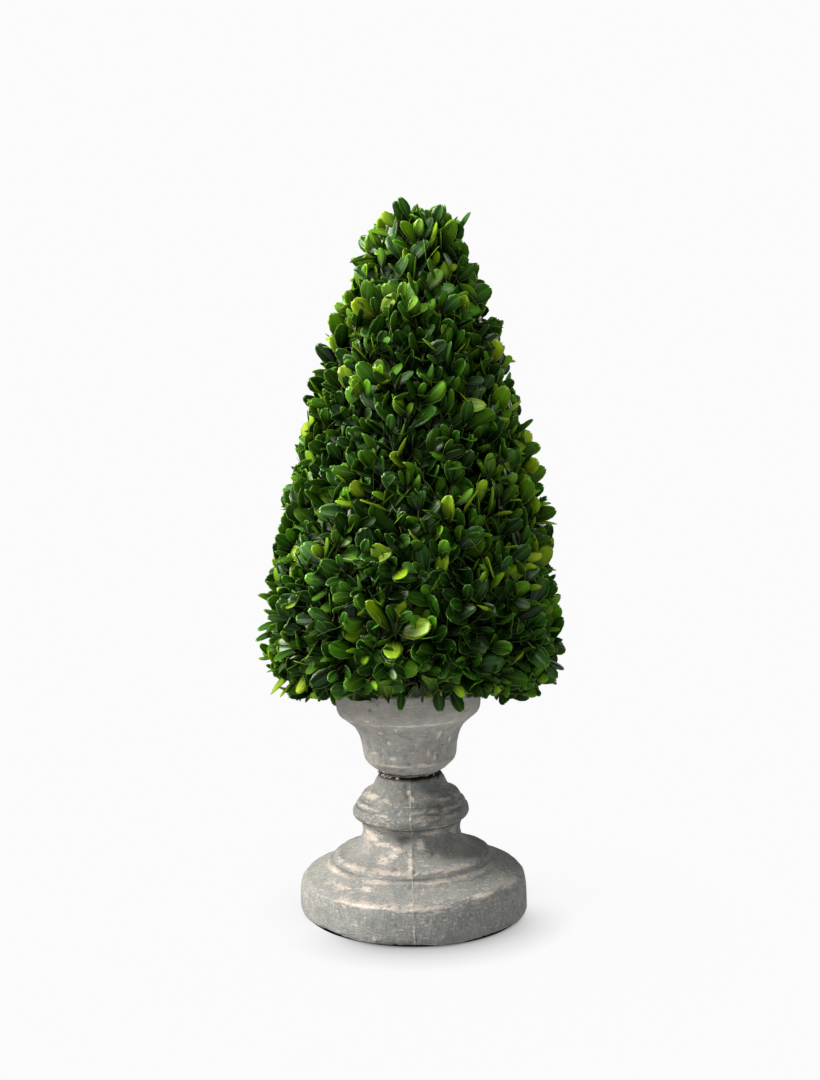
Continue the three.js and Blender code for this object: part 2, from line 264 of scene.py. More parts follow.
# Weathered cast stone: chalky grey that a pinkish cream wash has stayed on along the ridges, the mould seams and
# in torn patches, with scratches, dust in the hollows and dark pinholes. The paleness along the ridges is partly
# a painted highlight, the darkening in the hollows is partly painted shade, in the mortar joint it is painted
# shade, and a painted shadow darkens the lowest 2.5 mm. The band is a tint that comes in from one height to
# another, in metres, and stays on above them: both heights, its amount and its colour. It is painted shade on the
# pedestal and painted light on the bowl's rim.
def stoneMaterial(name, dark, light, seams, band):
    material, tree, shader = newMaterial(name)
    place = addNode(tree, "ShaderNodeTexCoord").outputs["Object"]
    flat = addNode(tree, "ShaderNodeMapping", {}, {"Vector": place, "Scale": (1, 1, 4.8)}).outputs[0]
    tall = addNode(tree, "ShaderNodeMapping", {}, {"Vector": place, "Scale": (5, 5, 1)}).outputs[0]
    slant = addNode(
        tree, "ShaderNodeMapping", {}, {"Vector": place, "Rotation": (0.0, 0.9, 0.3), "Scale": (1, 6, 6)}
    ).outputs[0]
    ridge, seam, hollow, patch = [addValue(tree, title) for title in ("ridge", "seam", "hollow", "patch")]
    # grains of 2 mm, mottling of 10 mm, streaks of 14 by 3 mm, clouds of 45 mm, thin scratches,
    # slanting strokes of 11 by 2 mm and finer ones of 5 by 1 mm
    grain, mottle, streak, cloud, scratch, cross, fine = [
        addNoise(tree, *pattern)
        for pattern in (
            (place, 1.7, 3, 0.8),
            (place, 10, 6, 0.7),
            (flat, 13.9, 9, 0.82),
            (place, 45, 3, 0.5),
            (tall, 6.7, 3, 0.6),
            (slant, 11, 4, 0.6),
            (slant, 4.8, 3, 0.6),
        )
    ]
    holes, specks = [
        addNode(tree, "ShaderNodeTexVoronoi", {}, {"Vector": place, "Scale": 1000 / size}).outputs[0]
        for size in (10.5, 3.8)
    ]
    height = addNode(tree, "ShaderNodeSeparateXYZ", {}, {0: place}).outputs[2]

    # the same calculations, shares and colours as above, in this material
    calculate, share, layer = [partial(adder, tree) for adder in (addMath, addShare, addColour)]

    # a seam shows up to 3 mm to each side of its middle, ragged and broken, with a hair crack beside
    away = calculate("ABSOLUTE", calculate("MULTIPLY_ADD", mottle, 5.0, calculate("SUBTRACT", seam, 2.5)))
    ragged = calculate("MULTIPLY_ADD", cloud, -5.0, calculate("MULTIPLY_ADD", streak, -7.0, away))
    line = calculate("MULTIPLY", share(ragged, -5.2, -5.9, seams), share(away, 3.2, 1.8, 1.0))
    beside = calculate("ABSOLUTE", calculate("SUBTRACT", calculate("MULTIPLY_ADD", mottle, 1.6, seam), 1.9))
    crack = calculate("MULTIPLY", share(beside, 0.3, 0.1, 1.0), share(cloud, 0.48, 0.56, 0.8))

    tint = layer(linear(dark), share(mottle, 0.38, 0.64, 1.0), light)
    tint = layer(tint, share(grain, 0.52, 0.68, 0.32), "#c4c0b8")
    tint = layer(tint, share(grain, 0.46, 0.32, 0.28), "#5c605e")
    tint = layer(tint, share(scratch, 0.56, 0.64, 0.5), "#b7b1a7")
    # the band: painted shade on the pedestal, painted light on the bowl's rim
    tint = layer(tint, share(height, *band[:3]), band[3])
    # the ridges add to the cream: partly the wash, partly a painted highlight on the edges
    edges = calculate("MULTIPLY", ridge, share(mottle, 0.34, 0.52, 1.0))
    total = calculate("MULTIPLY", streak, 1.6)
    for pattern, weight in ((edges, 0.47), (patch, 0.39), (grain, 0.5), (cloud, 0.2), (mottle, 0.25)):
        total = calculate("MULTIPLY_ADD", pattern, weight, total)
    white = calculate("MULTIPLY_ADD", streak, 4.8, calculate("MULTIPLY_ADD", grain, 2.0, patch))
    strokes = calculate("MULTIPLY", share(cross, 0.58, 0.62, 0.8), share(cloud, 0.42, 0.55, 1.0))
    flecks = calculate("MULTIPLY", share(fine, 0.65, 0.69, 0.7), share(cloud, 0.4, 0.5, 1.0))
    cream = layer(linear("#b9afa5"), share(white, 4.45, 4.75, 1.0), "#d8d2c9")
    tint = layer(tint, share(total, 1.56, 1.63, 0.9), cream)
    # a pale line along the ridges: cream wash and painted highlight
    tint = layer(tint, share(calculate("MULTIPLY_ADD", streak, 0.9, ridge), 1.08, 1.17, 0.75), "#c8c0b7")
    tint = layer(tint, strokes, "#c2bab0")
    tint = layer(tint, flecks, "#ccc5bb")
    tint = layer(tint, share(grain, 0.66, 0.72, 0.45), "#d3cdc4")
    tint = layer(tint, line, "#c9c0b6")
    # darker in the hollows, the joint and the dents: dust, and partly painted shade
    tint = layer(tint, share(calculate("MULTIPLY", hollow, streak), 0.1, 0.7, 0.8), "#494339")
    # darkest in the mortar joint and the deepest hollows: painted shade in the gap
    tint = layer(tint, share(calculate("MULTIPLY_ADD", mottle, 2.4, hollow), 2.5, 2.9, 0.8), "#2e2924")
    tint = layer(tint, crack, "#3c3730")
    tint = layer(tint, share(holes, 0.085, 0.04, 0.8), "#403c36")
    tint = layer(tint, share(specks, 0.13, 0.05, 0.5), "#4b4843")
    # painted shadow: the lowest 2.5 mm darkened, most at the bottom, where the stone meets the floor
    tint = layer(tint, share(height, 0.0025, 0.0005, 0.8), "#4a4238")

    relief = grain
    heights = ((scratch, 0.4), (streak, 1.0), (total, 0.6), (line, 0.5), (crack, -1.0), (holes, 0.3))
    for pattern, weight in heights:
        relief = calculate("MULTIPLY_ADD", pattern, weight, relief)
    bump = addNode(tree, "ShaderNodeBump", {}, {"Strength": 0.7, "Distance": 0.001, "Height": relief})
    tree.links.new(tint, shader.inputs["Base Color"])
    tree.links.new(bump.outputs[0], shader.inputs["Normal"])
    shader.inputs["Roughness"].default_value = 0.88
    shader.inputs["Specular IOR Level"].default_value = 0.25
    return material


# The plain finishes, with the size of their grain in mm and the two colours that it mixes.
finishes = {
    # sandy and pale, crumbling at the edge of the joint
    "lime mortar": {
        "grain": 2,
        "detail": 4,
        "soft": 0.7,
        "colours": ("#8d8375", "#d8cfc0"),
        "bump": (0.7, 0.0006),
        "roughness": 0.95,
    },
    # dark, with paler crumbs
    "potting soil": {
        "grain": 3.3,
        "detail": 5,
        "soft": 0.7,
        "colours": ("#1d1510", "#5b4736"),
        "bump": (0.9, 0.0015),
        "roughness": 1.0,
    },
    # yellow-grey and cracked along the stem; an attribute says how deep a crack is
    "boxwood bark": {
        "grain": 3.8,
        "detail": 5,
        "soft": 0.7,
        "colours": ("#6f6450", "#a3967b"),
        "cracks": "#3a3023",
        "bump": (0.6, 0.0008),
        "roughness": 0.85,
    },
    # young twigs, olive green and a little waxy
    "green boxwood twig": {
        "grain": 2.9,
        "detail": 3,
        "soft": 0.6,
        "colours": ("#2c3314", "#59602c"),
        "roughness": 0.6,
    },
}


# One plain finish: the low colour + grain times (the high colour - the low one), then darkened in
# the cracks and raised by the grain where the finish has them.
def plainMaterial(name):
    finish = finishes[name]
    material, tree, shader = newMaterial(name)
    place = addNode(tree, "ShaderNodeTexCoord").outputs["Object"]
    grain = addNoise(tree, place, finish["grain"], finish["detail"], finish["soft"])
    low, high = finish["colours"]
    tint = addColour(tree, linear(low), grain, high)
    if "cracks" in finish:
        tint = addColour(tree, tint, addValue(tree, "crack"), finish["cracks"])
    if "bump" in finish:
        strength, distance = finish["bump"]
        relief = {"Strength": strength, "Distance": distance, "Height": grain}
        bump = addNode(tree, "ShaderNodeBump", {}, relief)
        tree.links.new(bump.outputs[0], shader.inputs["Normal"])
    tree.links.new(tint, shader.inputs["Base Color"])
    shader.inputs["Roughness"].default_value = finish["roughness"]
    return material


# One side of a boxwood leaf: a plain colour, mottled a little, with painted shade that darkens it towards the
# stalk and painted light that brightens it towards the tip, and a thin pale edge and midrib. It's waxy above and
# matt below.
def leafMaterial(name, colour, edge, wax, shine):
    material, tree, shader = newMaterial(name)
    place = addNode(tree, "ShaderNodeTexCoord").outputs["Object"]
    length, across = addValue(tree, "length"), addValue(tree, "across")
    mottle = addNoise(tree, place, 14, 3, 0.6)
    # painted shade and light along the leaf: the colour's value goes from 0.03 at the stalk to 1.5 at the tip
    share = addNode(tree, "ShaderNodeMapRange", {}, {0: length, 1: 0.18, 2: 0.88, 3: 0.03, 4: 1.5}).outputs[0]
    spots = addNode(tree, "ShaderNodeMapRange", {}, {0: mottle, 1: 0.3, 2: 0.7, 3: 0.55, 4: 1.0}).outputs[0]
    share = addMath(tree, "MULTIPLY", spots, share)
    tint = addNode(
        tree, "ShaderNodeHueSaturation", {}, {"Color": linear(colour), "Value": share}
    ).outputs[0]
    # the edge is 0.5 mm wide and the midrib 0.4 mm
    rim = addShare(tree, across, 0.89, 0.96, 0.7)
    tip = addShare(tree, length, 0.945, 0.98, 0.7)
    rib = addShare(tree, across, 0.18, 0.08, 0.14)
    for line in (rim, tip, rib):
        tint = addColour(tree, tint, line, edge)
    relief = addMath(tree, "SUBTRACT", addNoise(tree, place, 2.4, 2, 0.5), rib)
    bump = addNode(tree, "ShaderNodeBump", {}, {"Strength": 0.3, "Distance": 0.0004, "Height": relief})
    tree.links.new(tint, shader.inputs["Base Color"])
    tree.links.new(bump.outputs[0], shader.inputs["Normal"])
    shader.inputs["Roughness"].default_value = 0.45 if wax else 0.6
    shader.inputs["Specular IOR Level"].default_value = shine
    shader.inputs["Coat Weight"].default_value = wax
    shader.inputs["Coat Roughness"].default_value = 0.28
    return material


urn = {
    "lean": 0.027,  # the casting leans towards -X, as a rise over run
    "leanHeight": 25,
    "columns": 300,
    "spacing": 0.8,  # between rows where the surface shows
    "hiddenSpacing": 4,
    "wobble": 0.45,  # how far the hand-made surface wanders
    "grit": 0.13,
    "jointHeight": 114.4,
    "worn": 0.48,  # how far the ridges are worn down, from 0 to 1
    "seamHeight": 0.35,
    "seamWidth": 0.9,
}


# The points of an outline of straight runs (r, z) and quadratic curves (r, z, endR, endZ).
def outline(start, runs, spacing):
    points = [np.array([start], dtype=float)]
    for run in runs:
        begin, end = points[-1][-1], np.array(run[-2:], dtype=float)
        share = np.linspace(0, 1, 25)[1:, None]
        bend = np.array(run[:2], dtype=float) if len(run) == 4 else (begin + end) / 2
        points.append(curve(begin, bend, end, share))
    path = np.concatenate(points)
    length = np.concatenate([[0], np.cumsum(np.linalg.norm(np.diff(path, axis=0), axis=1))])
    places = np.linspace(0, length[-1], max(round(length[-1] / spacing), 2) + 1)
    return np.stack([np.interp(places, length, path[:, axis]) for axis in (0, 1)], axis=-1)


# Softens the corners of an outline: each point moves to (before + 2 own + after) / 4, a number of
# times.
def softened(path, times):
    for _ in range(times):
        path = np.concatenate([path[:1], (path[:-2] + 2 * path[1:-1] + path[2:]) / 4, path[-1:]])
    return path


# How sharply an outline bends at each row: the turn of its direction per mm, spread over 1 mm.
def bending(path):
    step = np.gradient(path, axis=0)
    heading = np.unwrap(np.arctan2(step[:, 1], step[:, 0]))
    turn = np.gradient(heading) / np.maximum(np.linalg.norm(step, axis=1), 1e-6)
    kernel = np.exp(-0.5 * (np.arange(-4, 5) / 1.1) ** 2)
    return np.convolve(turn, kernel / kernel.sum(), mode="same")


# Leans the casting: x falls by lean times z, and z rises by lean times x away from the underside.
def leaned(grid):
    share = np.clip(grid[..., 2] / urn["leanHeight"], 0, 1)
    x = grid[..., 0] - grid[..., 2] * urn["lean"]
    z = grid[..., 2] + grid[..., 0] * urn["lean"] * share
    return np.stack([x, grid[..., 1], z], axis=-1)


# How near each point of a casting is to a spot, given as degrees from the front, height, half
# width and half height: exp(-(x^2 + y^2) / 2).
def spot(path, angle, turn, height, wide, high):
    away = (angle - math.radians(turn - 90) + math.pi) % (2 * math.pi) - math.pi
    along = away * np.maximum(path[:, :1], 1) / wide
    return np.exp(-0.5 * (along**2 + ((path[:, 1:] - height) / high) ** 2))


# A turned casting: the outline goes round Z, here crisp and there worn soft, and its skin moves
# in and out along its normals by wander + grit + mould seams - dents - pits - chips. The mould's
# halves met in an upright plane, whose x is given for the bottom and the top, and the columns
# stand closer together at the front and back. Patches and dents are spots with their strengths
# and depths.
def casting(name, material, path, shown, seed, seam, patches, dents, pits):
    columns = urn["columns"]
    turn = evenly(columns)
    angle = turn + 0.25 * np.sin(2 * turn)
    ring = compass(angle)
    outlines = (path, softened(path, 34))
    crisp, soft = [outer[:, :1, None] * ring + outer[:, 1:, None] * up for outer in outlines]
    joint = np.exp(-0.5 * ((path[:, 1:] - urn["jointHeight"]) / 1.8) ** 2)
    worn = np.clip(urn["worn"] + 0.4 * noise(crisp * [1, 1, 1.5], 50, seed + 9), 0, 1 - joint)
    grid = mix(crisp, soft, (worn * shown[:, None])[..., None])
    normals = gridNormals(grid)
    bend = bending(path)[:, None] * np.ones(columns)
    # ridge and hollow steer the stone's colour: paler on convex bends, partly as a painted highlight, and darker
    # in concave bends, the joint and the dents, partly as painted shade
    ridge = np.clip(bend * 2.2, 0, 1) * (1 - joint)
    hollow = np.maximum(np.clip(-bend * 3.5, 0, 1) * (1 - 0.7 * worn), 1.8 * joint)
    chips = smooth(0.45, 1.5, noise(grid, 9, seed + 3)) * np.clip(bend * 5, 0, 1)
    chips = chips + joint * smooth(-0.2, 1.2, noise(grid * [1, 1, 0.3], 6, seed + 4))
    lift = urn["wobble"] * noise(grid * [1, 1, 0.5], 70, seed)
    lift += urn["grit"] * (noise(grid, 11, seed + 1) + 0.6 * noise(grid * [1, 1, 2], 4, seed + 2))
    lift -= 1.1 * chips
    rise = (path[:, 1:] - path[:, 1].min()) / np.ptp(path[:, 1])
    away = path[:, :1] * np.cos(angle) - mix(*seam, rise)
    lift += urn["seamHeight"] * np.exp(-0.5 * (away / urn["seamWidth"]) ** 2) * smooth(
        -0.7, 0.5, noise(grid, 15, seed + 6)
    )
    for *where, depth in dents:
        dent = spot(path, angle, *where)
        lift -= depth * dent
        hollow = np.maximum(hollow, dent)
    maker = np.random.default_rng(seed + 7)
    rows = maker.integers(0, len(path), pits)
    turns = maker.integers(0, columns, pits)
    for row, column in zip(rows, turns):
        size, depth = maker.uniform(0.7, 1.7), maker.uniform(0.4, 1.1)
        far = np.linalg.norm(grid - grid[row, column], axis=-1)
        lift -= depth * np.exp(-0.5 * (far / size) ** 2)
    patch = 0.3 * np.clip(noise(grid * [1, 1, 1.6], 40, seed + 8), -1, 1)
    for *where, strength in patches:
        patch = np.maximum(patch, strength * spot(path, angle, *where))
    values = {"ridge": ridge, "hollow": hollow, "seam": away, "patch": patch}
    grid = leaned(grid + normals * (lift * shown[:, None])[..., None])
    grid[..., 2] = np.maximum(grid[..., 2], 0)
    return addClosed(name, grid, [material], values)


under = outline((3, 0), [(92.4, 0)], urn["hiddenSpacing"])
side = outline(
    (93.2, 0),
    [
        (94.4, 0),
        (95.4, 1.6),
        (95.8, 14, 95.1, 22.7),
        (94.4, 32.4, 87.6, 33.0),
        (80.0, 35.4, 74.4, 39.0),
        (73.4, 41.6, 70.6, 41.9),
        (68.4, 42.0, 67.4, 43.4),
        (66.8, 47.6, 63.2, 48.6),
        (59.4, 48.8),
        (45.6, 51.8, 42.4, 59.8),
        (40.0, 67.3, 42.0, 71.8),
        (42.4, 75.4),
        (48.4, 76.0, 49.6, 80.6),
        (50.2, 85.6, 47.0, 86.8),
        (46.2, 87.6),
        (47.0, 90.8, 44.2, 91.8),
        (42.6, 92.8),
        (42.6, 97.2, 39.0, 98.8),
        (34.6, 100.4, 32.2, 102.6),
        (30.0, 106.3, 28.8, 110.2),
        (27.2, 113.4),
        (24.0, 113.4),
    ],
    urn["spacing"],
)
top = outline((22, 113.4), [(2, 113.4)], urn["hiddenSpacing"])
path = np.concatenate([under, softened(side, 1), top])
shown = np.concatenate([np.zeros(len(under)), np.ones(len(side)), np.zeros(len(top))])
# Worn patches of the cream wash: degrees from the front, height, half width, half height and strength. The thin
# ones along the rings are partly a painted highlight.
patches = [
    (-55, 66, 12, 6, 1.3),
    (-36, 62, 10, 3, 1.2),
    (-19, 57, 6, 6, 1.3),
    (-28, 52, 7, 3, 1.1),
    (-2, 53, 2, 9, 1.2),
    (10, 62, 4, 5, 1.4),
    (28, 71, 10, 3.4, 1.2),
    (-36, 74.5, 14, 1.4, 1.1),
    (60, 68, 10, 5, 0.9),
    (-3, 104, 1.8, 1.4, 1.4),
    (2, 99, 1.2, 1.2, 1.3),
    (-60, 99, 8, 1.2, 1.2),
    (-33, 99, 3, 0.8, 1.2),
    (20, 99, 4, 0.8, 1.2),
    (45, 97, 5, 0.9, 1.1),
    (-62, 91, 6, 0.9, 1.1),
    (-31, 87, 7, 0.7, 1.1),
    (12, 87.3, 5, 0.8, 1.2),
    (36, 87.8, 5, 0.8, 1.2),
    (-34, 79.5, 12, 0.7, 1.1),
    (11, 81, 3, 0.8, 1.1),
    (32, 76, 8, 0.8, 1.0),
    (-52, 47, 12, 1.2, 1.2),
    (-14, 47, 14, 1.2, 1.2),
    (30, 47.5, 10, 0.9, 0.8),
    (-60, 41.5, 14, 1.2, 1.1),
    (-22, 41.5, 9, 0.8, 0.9),
    (14, 41.2, 7, 0.8, 0.8),
    (-48, 35.6, 16, 1.6, 1.0),
    (-28, 37, 8, 1.6, 0.9),
    (12, 37, 10, 1.4, 0.7),
    (-22, 29.8, 22, 1.6, 1.5),
    (4, 29, 20, 1.7, 1.5),
    (36, 31, 10, 1.3, 1.3),
    (64, 31, 14, 1.5, 0.9),
    (-66, 22, 14, 3, 0.8),
    (-28, 12, 2.2, 9, 0.9),
    (-19, 9, 1.8, 7, 0.9),
    (38, 10, 12, 4, 0.6),
]
patches += [(180 - turn, *size, 0.95 * strength) for turn, *size, strength in patches]
# painted shade on the upper pedestal
shaded = (0.05, 0.085, 0.3, "#5c6361")  # a darker tint, which comes in between 50 and 85 mm up
pedestalStone = stoneMaterial("weathered cast stone, pedestal", "#848887", "#999893", 1.0, shaded)
dents = [(-9, 66.5, 5.5, 3.4, 3.0), (33, 92, 3, 2, 0.8), (28, 20, 1.6, 1.2, 1.2), (150, 50, 6, 4, 1.0)]
pedestal = casting("pedestal_stone", pedestalStone, path, shown, 11, (0.3, -0.6), patches, dents, 70)
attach(pedestal, "root")
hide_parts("pedestal")

under = outline((2, 115.4), [(23, 115.4)], urn["hiddenSpacing"])
side = outline(
    (24.5, 115.4),
    [
        (26.6, 115.4),
        (28.2, 117.4),
        (37.6, 124.8),
        (39.4, 127.2, 40.0, 133.9),
        (41.4, 147.1, 45.5, 152.9),
        (48.6, 157.6, 56.7, 162.9),
        (61.5, 164.9, 61.7, 171.9),
        (61.8, 185.5),
        (59.8, 187.5),
        (52.5, 187.5),
        (52.5, 176),
    ],
    urn["spacing"],
)
inside = outline(
    (52.5, 172),
    [(52.5, 170), (48.5, 163, 38.5, 158), (33, 153, 31.5, 142), (28, 133), (2, 133)],
    urn["hiddenSpacing"],
)
path = np.concatenate([under, softened(side, 1), inside])
shown = np.concatenate([np.zeros(len(under)), np.ones(len(side)), np.zeros(len(inside))])
# Worn patches of the cream wash, as on the pedestal; the long thin ones along the ridges at 126 and 163 mm are
# partly a painted highlight.
patches = [
    (14, 152, 4, 4, 0.7),
    (30, 150, 3, 8, 0.7),
    (44, 139, 5, 5, 0.6),
    (4, 138, 6, 7, 0.7),
    (5, 162.9, 42, 1.0, 1.6),
    (-60, 162.9, 14, 1.0, 1.3),
    (-5, 126.2, 30, 1.0, 1.6),
    (-44, 128, 8, 2, 0.7),
    (6, 177, 12, 5, 0.6),
    (-44, 172, 8, 3, 0.5),
    (-29, 155, 2.2, 1.1, 2.0),
    (-47, 136, 3.0, 0.9, 2.0),
    (-23, 146, 1.8, 1.3, 2.0),
    (-20, 133, 2.6, 1.1, 2.0),
    (-34, 166, 2.4, 1.2, 1.8),
    (-12, 159, 1.4, 2.4, 1.8),
    (8, 145, 1.5, 2.2, 1.7),
    (22, 137, 1.3, 3.0, 2.0),
    (31, 134, 1.3, 3.2, 1.9),
    (33, 152, 1.4, 3.0, 1.9),
    (52, 146, 1.5, 3.4, 1.8),
    (14, 128, 4.0, 1.0, 1.8),
]
patches += [(180 - turn, *size, 0.95 * strength) for turn, *size, strength in patches]
# painted light on the bowl's rim
paintedRimLight = (0.155, 0.17, 0.45, "#bdb7ad")  # a paler tint, which comes in between 155 and 170 mm up
bowlStone = stoneMaterial("weathered cast stone, bowl", "#909391", "#b5b0a7", 0.95, paintedRimLight)
dents = [(-30, 176, 2, 1.5, 0.6), (140, 170, 4, 3, 0.8)]
bowl = casting("bowl_stone", bowlStone, path, shown, 31, (-22, -23.5), patches, dents, 90)
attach(bowl, "root")
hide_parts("bowl")
print("urn cast")

# The mortar bed, ragged round its edge, with crumbs pushed out, most of them at the front left.
mortarMix = {"radius": 22.8, "low": 113.5, "high": 115.3, "ragged": 1.3, "crumbs": 16, "columns": 160}
mortar = plainMaterial("lime mortar")
path = outline(
    (1, mortarMix["low"]),
    [
        (mortarMix["radius"] - 1, mortarMix["low"]),
        (mortarMix["radius"], 114.4),
        (mortarMix["radius"] - 1, mortarMix["high"]),
        (1, mortarMix["high"]),
    ],
    0.6,
)
angle = evenly(mortarMix["columns"])
ragged = noise(compass(angle) * 24, 6, 51)
push = (path[:, :1] / mortarMix["radius"]) ** 8 * mortarMix["ragged"] * ragged
bed = addClosed("mortar", leaned(turned(path, angle, push)), [mortar])
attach(bed, "root")
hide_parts("mortar_bed")


# Small rounded lumps: each is a ball of its size times 1 + 0.25 noise.
def lumpMesh(centres, sizes, seed, rows=6, columns=8):
    polar = np.linspace(0.25, math.pi - 0.25, rows)[:, None]
    around = evenly(columns)
    ball = np.stack(
        [-np.sin(polar) * np.cos(around), np.sin(polar) * np.sin(around), np.cos(polar) + 0 * around],
        axis=-1,
    )
    lump = ball[None] * sizes[:, None, None, None]
    lump *= 1 + 0.25 * noise(lump + centres[:, None, None], 2.2, seed)[..., None]
    points = (lump + centres[:, None, None]).reshape(len(centres), -1, 3)
    index = np.arange(rows * columns).reshape(rows, columns)
    shift = (np.arange(len(centres)) * rows * columns)[:, None, None]
    ends = [(ring + shift[:, 0]).reshape(-1, columns) for ring in (index[0, ::-1], index[-1])]
    return points.reshape(-1, 3), [(wrappedQuads(index)[None] + shift).reshape(-1, 4), *ends]


number = np.arange(mortarMix["crumbs"])
turn = np.where(number < 11, -2.3 + 0.7 * (chance(number) - 0.5), 2 * math.pi * chance(number + 0.4))
far = 26.6 + 1.5 * chance(number + 0.2)
centres = np.stack([far * np.cos(turn), far * np.sin(turn), 113.9 + 0.9 * chance(number + 0.7)], axis=-1)
points, faces = lumpMesh(leaned(centres), 0.45 + 0.75 * chance(number + 0.5), 53)
crumbs = addMesh("mortar_crumbs", points, faces, [mortar])
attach(crumbs, "root")
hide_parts("mortar_bed")

# The soil: level with soft lumps on top.
soilShape = {"height": 179, "lump": 0.8, "columns": 120}
path = outline(
    (1.5, 133.4),
    [(27.6, 133.4), (31.1, 142), (32.6, 153, 38.1, 158.4), (48.1, 163.4, 52.1, 170.4), (52.1, 176)],
    2.5,
)
crust = outline((50.5, soilShape["height"] - 0.6), [(1.5, soilShape["height"] - 0.6)], 1.4)
ends = np.concatenate([path, crust])
grid = leaned(turned(ends, evenly(soilShape["columns"])))
height = soilShape["height"] - 1.2 + soilShape["lump"] * np.clip(noise(grid * [1, 1, 0], 7, 61), -1, 1)
grid[len(path) :, :, 2] = height[len(path) :]
soil = addClosed("soil_crumb", grid, [plainMaterial("potting soil")])
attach(soil, "root")
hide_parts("soil")
print("bed and soil laid")


crown = {
    "underside": 178,
    "undersideRadius": 97,
    "widestHeight": 235,
    "widestRadius": 127,
    "top": 607,
    "bulge": 1.2,
    "blunt": 0.55,
    "centre": -1.5,
    "tipDrift": 4.5,
    "frontLift": 21,  # how much higher the skirt's edge hangs at the front
}
core = {"depth": 24, "bottom": 189.6, "top": 568, "tipRadius": 3.5}
bowlSpace = {"radius": 62.8, "height": 188.5}
innerRadius = 67.8


# Below the widest height a quarter ellipse, above it widest times (1 - rise^bulge)^blunt.
def crownRadius(z):
    low, wide = crown["undersideRadius"], crown["widestRadius"]
    drop = np.clip((crown["widestHeight"] - z) / (crown["widestHeight"] - crown["underside"]), 0, 1)
    rise = np.clip((z - crown["widestHeight"]) / (crown["top"] - crown["widestHeight"]), 0, 1)
    skirt = low + (wide - low) * np.sqrt(1 - drop * drop)
    cone = wide * (1 - rise ** crown["bulge"]) ** crown["blunt"]
    return np.where(z < crown["widestHeight"], skirt, cone)


# The x of the crown's axis: centre + tipDrift times rise^3, above the widest height.
def crownAxis(z):
    rise = np.maximum((z - crown["widestHeight"]) / (crown["top"] - crown["widestHeight"]), 0)
    return crown["centre"] + crown["tipDrift"] * rise**3


# The core lies its depth below the crown, square to it: radius - depth (1 + slope^2)^(1/2), and
# never less than the tip's radius.
def coreRadius(z):
    slope = np.where(z < crown["widestHeight"], 0, crownRadius(z) - crownRadius(z + 1))
    return np.maximum(crownRadius(z) - core["depth"] * np.hypot(1, slope), core["tipRadius"])


# Places on the core's skin, even by area and turning by the golden angle: each has its number, its
# place, the level direction away from the axis, and the skin's outward direction. The skin runs
# from the rim out and then up.
def skinPlaces(count):
    rings = np.arange(innerRadius, coreRadius(core["bottom"]), 2)
    heights = np.arange(core["bottom"], core["top"], 2)
    radius = np.concatenate([rings, coreRadius(heights)])
    z = np.concatenate([np.full(len(rings), core["bottom"]), heights])
    slant = np.hypot(np.diff(radius), np.diff(z))
    area = np.concatenate([[0], np.cumsum(math.pi * (radius[1:] + radius[:-1]) * slant)])
    index = np.arange(count)
    wanted = area[-1] * (index + 0.5) / count
    after = np.clip(np.searchsorted(area, wanted), 1, len(area) - 1)
    share = (wanted - area[after - 1]) / (area[after] - area[after - 1])
    r = mix(radius[after - 1], radius[after], share)
    height = mix(z[after - 1], z[after], share)
    rise, fall = z[after] - z[after - 1], radius[after - 1] - radius[after]
    long = np.maximum(np.hypot(rise, fall), 1e-9)
    turn = index * goldenAngle
    around = compass(turn)
    outwards = around * (rise / long)[:, None] + up * (fall / long)[:, None]
    place = around * r[:, None] + up * height[:, None]
    place[:, 0] += crownAxis(height)
    return index, place, around, outwards


# A small seeded push along x, y and z: amount times (chance - 0.5).
def strayed(index, amount):
    return amount * (np.stack([chance(index + 0.1), chance(index + 0.3), chance(index + 0.7)], axis=-1) - 0.5)


stemShape = {
    "foot": 179.3,
    "top": 298,
    "flareRadius": 14,
    "flareHeight": 20,
    "radius": 8.4,
    "topRadius": 5.6,
    "bend": 2.2,
    "leaderTop": 578,
    "boughs": 30,
    "boughSides": 16,
}


# The stem's centre line runs from over the leaning bowl to the crown's axis, and sways by bend
# times the sine of 3 and 4.4 times its rise.
def stemCentre(z):
    rise = (z - stemShape["foot"]) / (stemShape["top"] - stemShape["foot"])
    low = np.clip(rise, 0, 1)
    x = mix(-urn["lean"] * soilShape["height"], crown["centre"], low)
    x = x + stemShape["bend"] * np.sin(3 * low) + (crownAxis(z) - crown["centre"])
    return np.stack([x, stemShape["bend"] * np.sin(4.4 * low) / (1 + np.maximum(rise - 1, 0)), z], axis=-1)


# A rod with cracked bark: centre + radius (side cos a + across sin a), and the skin sinks by depth
# where a long thin noise is near 0.
def barked(centre, radius, columns, seed, depth):
    angle = evenly(columns)
    along = unit(np.gradient(centre, axis=0))
    side = unit(np.array([1.0, 0, 0]) - along * along[:, :1])
    across = np.cross(along, side)
    spoke = side[:, None] * np.cos(angle)[:, None] + across[:, None] * np.sin(angle)[:, None]
    grid = centre[:, None] + spoke * radius[:, None, None]
    crack = 1 - smooth(0.0, 0.55, np.abs(noise(grid * [1, 1, 0.28], 5, seed)))
    return grid + spoke * (depth * (0.4 * noise(grid, 9, seed + 1) - crack))[..., None], crack


